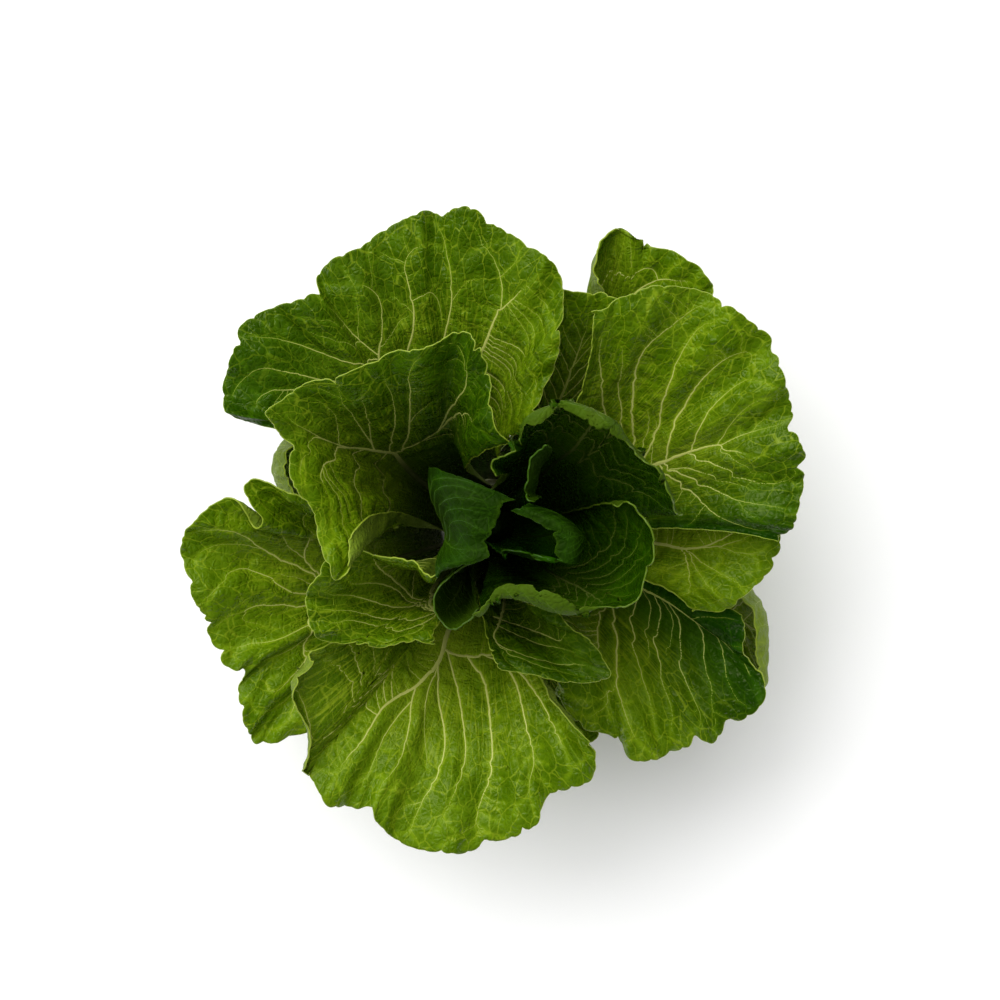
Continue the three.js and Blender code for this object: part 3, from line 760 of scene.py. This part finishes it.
def blade_grid(leaf, layer, rng):
    """The fine grid of a blade with its toothed edge, before any relief."""
    rim = np.array([seen(p) for p in leaf["rim"]])
    line = spline(rim, np.linspace(0, 1, RIM_STEPS))
    run = np.concatenate([[0], np.cumsum(np.linalg.norm(np.diff(line, axis=0), axis=1))])
    length = run[-1]
    middle = sheet(leaf, layer, np.full(50, 0.5), np.linspace(0, 1, 50))
    rise = np.linalg.norm(np.diff(middle, axis=0), axis=1).sum()
    spacing = max(SPACING, math.sqrt(length * rise / MOST_POINTS))
    n, m = int(length / spacing) + 2, int(rise / spacing) + 2
    t = np.linspace(0, 1, n)[:, None]
    s = np.linspace(0, 1, m)[None, :] ** ROW_CROWDING
    is_low = leaf["name"].startswith("low")
    inset = notches(length, rng, HEART_CROWDING if is_heart(leaf) else 1,
                    HEART_TEETH if is_heart(leaf) else LOW_TEETH if is_low else 1)
    side_inset = [notches(rise, rng) for _ in range(2)]
    last_step = sheet(leaf, layer, t[:, 0], np.ones(n)) - sheet(leaf, layer, t[:, 0], np.full(n, 0.97))
    speed = np.linalg.norm(last_step, axis=1) / 0.03
    fade = np.minimum(1, np.minimum(t, 1 - t) * length / 6)
    place = np.interp(t[:, 0], np.linspace(0, 1, RIM_STEPS), run)
    drawn_in = (inset(place) + bites(leaf, line, run, place))[:, None] * fade
    top = 1 - drawn_in / speed[:, None]
    along = s * top
    low = side_inset[0](s * rise) * smoothstep(0.3, 0.5, s) * SIDE_TEETH / length
    high = 1 - side_inset[1](s * rise) * smoothstep(0.3, 0.5, s) * SIDE_TEETH / length
    across = low + (high - low) * t
    base = sheet(leaf, layer, across, along)
    normals = unit(np.cross(np.gradient(base, axis=1), np.gradient(base, axis=0)))
    flat = np.minimum(1, along / 0.1)
    normals = unit(normals * np.stack([np.ones_like(flat), np.ones_like(flat), flat], -1))
    return SimpleNamespace(n=n, m=m, length=length, rise=rise, top=top, across=across, along=along, base=base,
                           normals=normals)


def blade_relief(leaf, layer, grid, to_vein, to_main, rng):
    """How far each point of the grid stands out along its normal: long waves, ruffles and bubbles."""
    across, along = grid.across, grid.along
    wave = leaf["ruffle"] * smoothstep(WAVE_START, 1, along) * np.sin(
        2 * np.pi * across * grid.length / WAVE_LENGTH + layer)
    size_here = 1 if layer < YOUNG_LAYER else YOUNG_RELIEF
    for wavelength, size, share in RUFFLES:
        phase = 2.2 * ripple(grid.base, wavelength * 4, rng)
        swell = 0.6 + 0.4 * ripple(grid.base, 50, rng)
        ruffle = np.sin(2 * np.pi * across * grid.length / wavelength + phase) * swell
        wave = wave + size_here * size * smoothstep(1 - share, 1, along) * ruffle
    blister = 1 - np.exp(-(to_vein / BLISTER_REACH) ** 2)
    blister = BLISTER * blister * (0.75 + 0.5 * ripple(grid.base, 11, rng))
    pillow = 1 - np.exp(-(to_main / PILLOW_REACH) ** 2)
    pillow = PILLOW * pillow * (0.6 + 0.6 * ripple(grid.base, 40, rng))
    bubbles = smoothstep(0.3, 0.5, along) * (blister + pillow) * (1 - 0.6 * smoothstep(0.94, 1, along))
    return wave + size_here * bubbles


def blade_piece(leaf, layer, grid, middle, to_vein, vein_half, material):
    """The closed blade with the midrib's thickness behind it, and what its material reads at each point."""
    rib = rib_share(leaf, grid.across, grid.along)
    front = middle + grid.normals * BLADE / 2
    back = middle - grid.normals * (BLADE / 2 + RIB * RIB_YOUNGER ** layer * rib)[..., None]
    points = np.vstack([front.reshape(-1, 3), back.reshape(-1, 3)])
    points[:, 2] = np.maximum(points[:, 2], 0)
    pale = np.exp(-(to_vein / (0.45 + vein_half)) ** 2) * np.clip(vein_half / 0.7, 0.25, 1)
    pale = np.clip(np.maximum(pale, 1.6 * rib), 0, 1)
    edge = np.exp(-(1 - grid.along / grid.top) * grid.rise / 1.2)
    green = np.interp(grid.across, np.linspace(0, 1, len(leaf["green"])), leaf["green"])
    shade = np.stack([pale, grid.along, edge, green], -1).reshape(-1, 4)
    side = np.zeros((2, grid.n * grid.m, 4))
    side[..., 3] = 1
    side[1, :, 0] = 1
    side[:, :, 1] = np.clip(to_vein / GAP_REACH, 0, 1).reshape(-1)
    chart = np.stack([grid.across * grid.length / CHART_UNIT, grid.along * grid.rise / CHART_UNIT,
                      np.full_like(grid.along, layer), np.ones_like(grid.along)], -1).reshape(-1, 4)
    colours = {"shade": np.vstack([shade, shade]), "side": side.reshape(-1, 4),
               "chart": np.vstack([chart, chart])}
    return mesh_object(leaf["name"] + "_blade", points, closed_faces(grid.n, grid.m), colours, material)


def vein_piece(leaf, middle, normals, chains, material):
    """All veins of a leaf in one mesh. They stand out more behind than in front."""
    tube, faces, halves, heights = tubes(middle, normals, chains, lambda h: 0.04 + 0.16 * h,
                                         lambda h: 0.1 + 0.75 * h)
    tube[:, 2] = np.maximum(tube[:, 2], 0)
    in_front = np.sin(np.arange(TUBE_SIDES) / TUBE_SIDES * 2 * np.pi) > -0.1
    shade = np.zeros((len(tube), 4))
    shade[:, 0] = np.clip(halves / 0.9, 0, 1)
    shade[:, 1] = heights
    shade[:, 2] = np.tile(in_front, len(tube) // TUBE_SIDES)
    shade[:, 3] = np.mean(leaf["green"])
    return mesh_object(leaf["name"] + "_veins", tube, faces, {"shade": shade}, material)


def edge_piece(leaf, grid, middle, material):
    """The pale bead along both sides and the rim of a leaf."""
    n, m = grid.n, grid.m
    up = np.arange(m // 3, m, dtype=float)
    over = np.arange(n, dtype=float)
    around = np.vstack([np.stack([np.zeros(len(up)), up], -1), np.stack([over, np.full(n, m - 1.0)], -1)[1:],
                        np.stack([np.full(len(up), n - 1.0), up[::-1]], -1)[1:]])
    half = np.full(len(around), HEART_BEAD if is_heart(leaf) else BEAD)
    half[:3] *= [0.2, 0.5, 0.8]
    half[-3:] *= [0.8, 0.5, 0.2]
    bead, faces, _, _ = tubes(middle, grid.normals, [(around, half)], lambda h: h * 0 + BEAD_RISE,
                              lambda h: h * 0 + BEAD_RISE)
    shade = np.zeros((len(bead), 4))
    shade[:, :2] = (BEAD_SHADE, 1)
    shade[:, 3] = np.mean(leaf["green"])
    return mesh_object(leaf["name"] + "_edge", bead, faces, {"shade": shade}, material)


def leaf_pieces(leaf, layer, materials):
    """The blade, the veins and the edge bead of one leaf."""
    rng = np.random.default_rng(100 + layer)
    grid = blade_grid(leaf, layer, rng)
    places, parents = grow(leaf, grid.base, rng)
    chains = chains_of(places, parents, grid.m - 1, HEART_VEIN_SHARE if is_heart(leaf) else 1)
    to_vein, vein_half = nearest_vein(grid.base, chains, 0)
    to_main, _ = nearest_vein(grid.base, chains, MAIN_VEIN)
    middle = grid.base + grid.normals * blade_relief(leaf, layer, grid, to_vein, to_main, rng)[..., None]
    blade = blade_piece(leaf, layer, grid, middle, to_vein, vein_half,
                        materials["heart" if is_heart(leaf) else "blade"])
    veins = vein_piece(leaf, middle, grid.normals, chains, materials["vein"])
    edge = edge_piece(leaf, grid, middle, materials["vein"])
    for piece in (blade, veins, edge):
        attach(piece, "root")
        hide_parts(leaf["name"])


def linear(red, green, blue):
    """A colour given as it shows on a screen, 0 to 255, as the shaders use it."""
    def one(value):
        value /= 255
        return value / 12.92 if value <= 0.04045 else ((value + 0.055) / 1.055) ** 2.4
    return (one(red), one(green), one(blue), 1)


def leaf_tone(red, green, blue):
    """A leaf colour as it shows under this scene's bright light, as the shaders use it."""
    return tuple(value / LIGHT_GAIN for value in linear(red, green, blue)[:3]) + (1,)


class Nodes:
    """A short way to write a material's nodes."""

    def __init__(self, name):
        self.material = bpy.data.materials.new(name)
        self.material.use_nodes = True
        self.tree = self.material.node_tree
        self.tree.nodes.clear()

    def add(self, kind, inputs=None, **settings):
        node = self.tree.nodes.new(kind)
        for key, value in settings.items():
            setattr(node, key, value)
        for key, value in (inputs or {}).items():
            socket = node.inputs[key]
            if isinstance(value, bpy.types.NodeSocket):
                self.tree.links.new(value, socket)
            else:
                socket.default_value = value
        return node

    def mix(self, share, a, b):
        node = self.add("ShaderNodeMix", data_type="RGBA", blend_type="MIX")
        for socket, value in zip((node.inputs[0], node.inputs[6], node.inputs[7]), (share, a, b)):
            if isinstance(value, bpy.types.NodeSocket):
                self.tree.links.new(value, socket)
            else:
                socket.default_value = value
        return node.outputs[2]

    def math(self, operation, a, b):
        return self.add("ShaderNodeMath", {0: a, 1: b}, operation=operation).outputs[0]

    def product(self, a, b):
        return self.math("MULTIPLY", a, b)

    def vector(self, operation, a, b):
        return self.add("ShaderNodeVectorMath", {0: a, 1: b}, operation=operation).outputs[0]

    def noise(self, where, scale, detail, roughness=0.6):
        return self.add("ShaderNodeTexNoise", {"Vector": where, "Scale": scale, "Detail": detail,
                                               "Roughness": roughness})

    def cell_edge(self, where, scale):
        """Distance to the nearest border between irregular cells."""
        return self.add("ShaderNodeTexVoronoi", {"Vector": where, "Scale": scale},
                        feature="DISTANCE_TO_EDGE").outputs["Distance"]

    def bump(self, height, strength, distance):
        return self.add("ShaderNodeBump", {"Height": height, "Strength": strength,
                                           "Distance": distance}).outputs[0]

    def range(self, value, low, high, to_low=0.0, to_high=1.0):
        node = self.add("ShaderNodeMapRange", {0: value, 1: low, 2: high, 3: to_low, 4: to_high},
                        interpolation_type="SMOOTHSTEP")
        return node.outputs[0]

    def finish(self, shader):
        self.add("ShaderNodeOutputMaterial", {"Surface": shader})
        return self.material


def blade_material(name, shine, well_shade):
    """Glossy blistered blade: green by leaf and place, pale at veins, edge and foot, duller behind.
    shine is its specular level and well_shade how much painted shade darkens the front deep down."""
    n = Nodes(name)
    where = n.add("ShaderNodeTexCoord").outputs["Object"]
    shade = n.add("ShaderNodeAttribute", attribute_name="shade")
    pale, along, edge = n.add("ShaderNodeSeparateColor", {0: shade.outputs["Color"]}).outputs
    green = shade.outputs["Alpha"]
    side = n.add("ShaderNodeAttribute", attribute_name="side")
    behind, gap, _ = n.add("ShaderNodeSeparateColor", {0: side.outputs["Color"]}).outputs
    chart = n.add("ShaderNodeAttribute", attribute_name="chart").outputs["Vector"]

    grain = n.noise(n.vector("MULTIPLY", chart, (70.0, 3.5, 9.0)), 1.0, 3.0).outputs["Fac"]
    streak = n.product(n.range(grain, 0.5, 0.62), n.range(along, 0.92, 0.62))
    mottle = n.noise(where, 45.0, 5.0, 0.62).outputs["Fac"]
    bend = n.vector("MULTIPLY", n.noise(where, 120.0, 2.0, 0.5).outputs["Color"], (0.006, 0.006, 0.006))
    net = n.cell_edge(n.vector("ADD", where, bend), 330.0)
    wide_net = n.vector("ADD", n.vector("MULTIPLY", chart, (14.0, 8.0, 9.0)),
                        n.vector("MULTIPLY", bend, (90.0, 90.0, 0.0)))
    wide_net = n.cell_edge(wide_net, 1.0)
    net_line = n.range(net, 0.0, 0.09, 1.0, 0.0)
    wide_line = n.range(wide_net, 0.008, 0.04, 1.0, 0.0)

    # Near green 0, as on the heart leaves, these dark greens are painted shade as well as the leaf's own
    # colour.
    dark = n.mix(green, leaf_tone(8, 46, 0), leaf_tone(70, 108, 0))
    light = n.mix(green, leaf_tone(32, 92, 0), leaf_tone(134, 170, 8))
    line = n.mix(n.range(green, 0.0, 0.6), leaf_tone(52, 100, 0), leaf_tone(166, 190, 36))
    tone = n.math("ADD", n.range(mottle, 0.3, 0.7, 0.1, 0.5), n.product(n.range(gap, 0.4, 0.04), 0.4))
    front = n.mix(tone, dark, light)
    front = n.mix(n.product(net_line, 0.12), front, line)
    front = n.mix(n.product(n.product(wide_line, n.range(along, 0.45, 0.7)), 0.45), front, line)
    front = n.mix(n.product(streak, 0.6), front, line)
    # Painted shade: deep down towards the foot the front darkens, for the shade in the well between the
    # leaves.
    front = n.mix(n.range(along, 0.58, 0.2, 0.0, well_shade), front, leaf_tone(12, 36, 0))
    # Painted shade: the backs of the darkest leaves, those of the heart, go nearly black-green for the shade
    # of the well.
    back = n.mix(n.range(green, 0.03, 0.12), leaf_tone(26, 54, 0),
                 n.mix(green, leaf_tone(68, 96, 6), leaf_tone(136, 160, 50)))
    back = n.mix(n.range(mottle, 0.3, 0.7, 0.0, 0.4), back, front)
    back = n.mix(n.product(wide_line, 0.25), back, line)
    blade = n.mix(behind, front, back)
    blade = n.mix(n.product(n.range(along, 0.42, 0.06), behind), blade, leaf_tone(190, 206, 118))
    blade = n.mix(n.product(n.range(along, 0.18, 0.0), behind), blade, leaf_tone(236, 236, 200))
    blade = n.mix(n.product(edge, 0.3), blade, n.mix(green, leaf_tone(84, 126, 4), leaf_tone(136, 164, 26)))
    blade = n.mix(n.product(n.product(pale, 0.75), n.range(along, 0.2, 0.5)), blade,
                  n.mix(green, leaf_tone(66, 112, 0), leaf_tone(166, 190, 36)))

    relief = n.math("ADD", n.range(net, 0.0, 0.35), n.product(mottle, 0.6))
    relief = n.math("SUBTRACT", relief, n.product(streak, 0.6))
    bump = n.bump(relief, 0.6, 0.0005)
    rough = n.math("ADD", n.range(mottle, 0.25, 0.75, 0.2, 0.34), n.product(behind, 0.3))
    skin = n.add("ShaderNodeBsdfPrincipled", {
        "Base Color": blade, "Roughness": rough, "Specular IOR Level": shine,
        "Specular Tint": (0.95, 1.0, 0.55, 1.0), "Normal": bump})
    glow = n.add("ShaderNodeBsdfTranslucent", {"Color": n.mix(0.5, blade, leaf_tone(120, 184, 6)),
                                               "Normal": bump})
    both = n.add("ShaderNodeMixShader", {0: 0.2, 1: skin.outputs[0], 2: glow.outputs[0]})
    return n.finish(both.outputs[0])


def vein_material():
    """Juicy vein: nearly the blade's green where thin, cream where thick, with painted shade deep in the
    well.
    """
    n = Nodes("romaine_vein")
    where = n.add("ShaderNodeTexCoord").outputs["Object"]
    shade = n.add("ShaderNodeAttribute", attribute_name="shade")
    pale, along, front = n.add("ShaderNodeSeparateColor", {0: shade.outputs["Color"]}).outputs
    # outer follows the leaf's lightness, so on the heart leaves it carries their painted shade.
    outer = n.range(shade.outputs["Alpha"], 0.02, 0.3)
    streak = n.noise(where, 160.0, 4.0).outputs["Fac"]
    thin = n.mix(outer, leaf_tone(48, 94, 0), leaf_tone(164, 188, 48))
    thick = n.mix(outer, leaf_tone(72, 116, 4), leaf_tone(216, 222, 120))
    colour = n.mix(n.range(pale, 0.12, 0.6), thin, thick)
    colour = n.mix(n.range(streak, 0.35, 0.75, 0.0, 0.25), colour, thin)
    # Painted shade: on the front, veins deep down darken to the shade of the well.
    colour = n.mix(n.product(n.range(along, 0.46, 0.24, 0.0, 0.9), front), colour, leaf_tone(24, 50, 0))
    skin = n.add("ShaderNodeBsdfPrincipled", {
        "Base Color": colour, "Roughness": n.range(streak, 0.3, 0.7, 0.3, 0.42), "Specular IOR Level": 0.5,
        "Normal": n.bump(streak, 0.3, 0.0004)})
    glow = n.add("ShaderNodeBsdfTranslucent", {"Color": colour})
    both = n.add("ShaderNodeMixShader", {0: 0.15, 1: skin.outputs[0], 2: glow.outputs[0]})
    return n.finish(both.outputs[0])


def stem_material():
    """Cut stem: cream flesh with fine rings and a few browned specks, painted dark green higher up as shade
    under the heart.
    """
    n = Nodes("romaine_stem")
    where = n.add("ShaderNodeTexCoord").outputs["Object"]
    rings = n.add("ShaderNodeTexWave", {"Vector": where, "Scale": 70.0, "Distortion": 3.0, "Detail": 3.0},
                  wave_type="RINGS", rings_direction="Z").outputs["Fac"]
    speck = n.noise(where, 260.0, 6.0, 0.7).outputs["Fac"]
    height = n.add("ShaderNodeSeparateXYZ", {0: where}).outputs["Z"]
    colour = n.mix(rings, linear(226, 224, 184), linear(204, 208, 150))
    colour = n.mix(n.range(speck, 0.6, 0.75, 0.0, 0.6), colour, linear(160, 128, 70))
    # Painted shade: higher up the stem turns dark green, for the shade deep under the heart leaves.
    colour = n.mix(n.range(height, 0.004, 0.02), colour, leaf_tone(30, 54, 2))
    skin = n.add("ShaderNodeBsdfPrincipled", {
        "Base Color": colour, "Roughness": n.range(speck, 0.3, 0.7, 0.45, 0.65),
        "Normal": n.bump(n.math("ADD", rings, speck), 0.5, 0.0005)})
    return n.finish(skin.outputs[0])


def floor_material():
    """Even pale grey."""
    n = Nodes("plain_floor")
    skin = n.add("ShaderNodeBsdfPrincipled", {"Base Color": (0.95, 0.95, 0.95, 1), "Roughness": 0.9,
                                              "Specular IOR Level": 0.0})
    return n.finish(skin.outputs[0])


def floor():
    """A plain pale floor under the head."""
    bpy.ops.mesh.primitive_plane_add(size=12, location=(0, 0, -0.0002))
    ground = bpy.context.object
    ground.name = "floor"
    ground.data.materials.append(floor_material())


def sun(name, towards, strength, angle):
    """Soft light from a wide patch of sky. towards is the way from the head to the light."""
    lamp = bpy.data.lights.new(name, "SUN")
    lamp.energy = strength
    lamp.angle = math.radians(angle)
    source = bpy.data.objects.new(name, lamp)
    bpy.context.scene.collection.objects.link(source)
    x, y, z = towards
    source.rotation_euler = (math.atan2(math.hypot(x, y), z), 0, math.atan2(x, -y))
    return source


def light():
    """Soft light from the upper left of the view: a wide patch that lights, a small one that glints."""
    wide = sun("wide_light", (-0.32, 0.4, 1), 2.3, 75)
    wide.visible_glossy = False
    sun("key_light", (-0.6, 0.65, 1), 1.35, 42)
    world = bpy.data.worlds.new("studio")
    bpy.context.scene.world = world
    world.use_nodes = True
    world.node_tree.nodes["Background"].inputs["Color"].default_value = (1, 1, 1, 1)
    world.node_tree.nodes["Background"].inputs["Strength"].default_value = 0.42
    world.cycles_visibility.glossy = False
    bpy.context.scene.view_settings.view_transform = "Standard"


def camera():
    """Straight down from above the head, with the back of the head at the top of the picture."""
    lens = bpy.data.cameras.new("camera")
    lens.sensor_width = 36
    lens.lens = 99.32
    lens.clip_end = 100
    eye = bpy.data.objects.new("camera", lens)
    eye.location = EYE * MM
    bpy.context.scene.collection.objects.link(eye)
    bpy.context.scene.camera = eye


camera()
light()
floor()
greens = {"blade": blade_material("romaine_blade", 0.3, 0.65),
          "heart": blade_material("romaine_heart", 0.14, 0.35), "vein": vein_material()}
for layer, leaf in enumerate(LEAVES):
    leaf_pieces(leaf, layer, greens)
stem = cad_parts["stem"]
stem.data.materials.clear()
stem.data.materials.append(stem_material())
